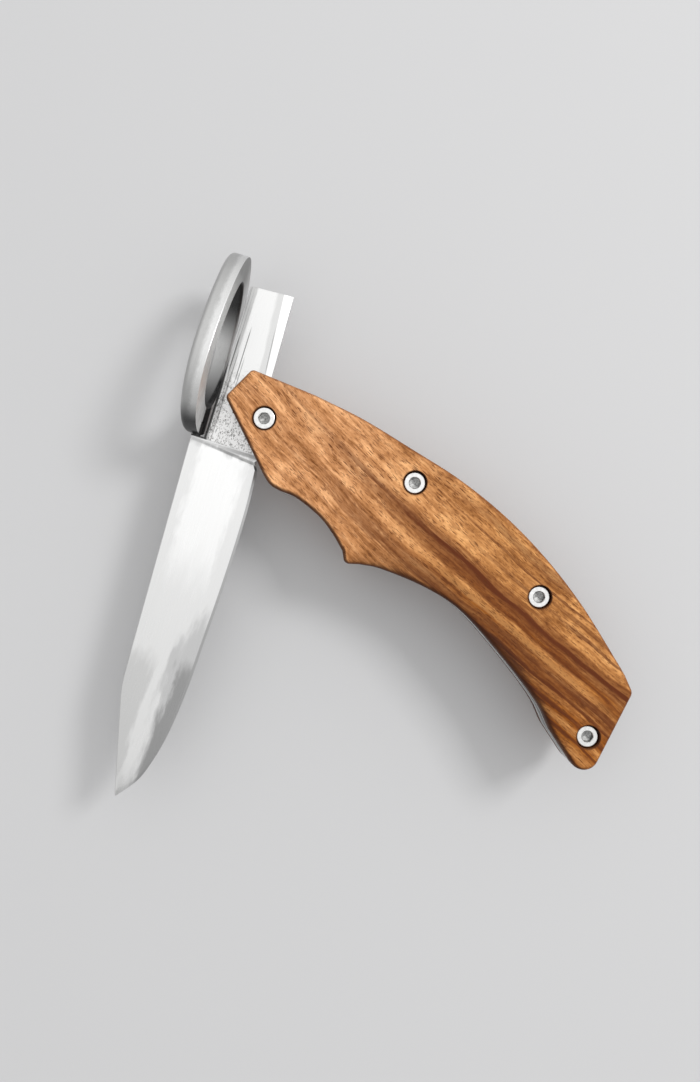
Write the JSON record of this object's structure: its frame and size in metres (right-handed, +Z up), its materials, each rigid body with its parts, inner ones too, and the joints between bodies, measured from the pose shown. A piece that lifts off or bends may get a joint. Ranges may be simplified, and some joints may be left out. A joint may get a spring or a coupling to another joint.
{
  "type": "folding knife",
  "caption": "Folding knife with a drop-point blade, an egg-shaped thumb ring on its tang and curved wooden handle scales, half open.",
  "frame": {"origin": "bottom centre of the whole knife's box, as it lies on its side half open", "axes": "-Y along the blade towards its tip, +X towards the handle's butt, +Z up out of the near scale and along the pivot"},
  "size_m": [0.1074, 0.1184, 0.0278],
  "materials": {
    "wood": "reddish-brown striped wood, satin",
    "satin_steel": "satin ground, fine lengthwise lines",
    "ground_steel": "greyer, coarser ground",
    "screw_steel": "bright turned",
    "washer_bronze": "plain"
  },
  "bodies": {
    "handle": {"near_scale": "wood", "far_scale": "wood", "near_liner": "ground_steel", "far_liner": "ground_steel", "near_washer": "washer_bronze", "far_washer": "washer_bronze", "pivot_barrel": "screw_steel", "near_pivot_screw": "screw_steel", "far_pivot_screw": "screw_steel", "front_standoff": "screw_steel", "middle_standoff": "screw_steel", "butt_standoff": "screw_steel", "near_front_screw": "screw_steel", "far_front_screw": "screw_steel", "near_middle_screw": "screw_steel", "far_middle_screw": "screw_steel", "near_butt_screw": "screw_steel", "far_butt_screw": "screw_steel"},
    "blade": {"blade": "satin_steel", "thumb_ring": "ground_steel"}
  },
  "joints": [
    {"name": "blade_pivot", "type": "hinge", "parent": "handle", "child": "blade", "pos_m": [-0.03589, 0.02671, 0.01389], "axis": [0, 0, 1], "range_deg": [-109, 72]}
  ]
}
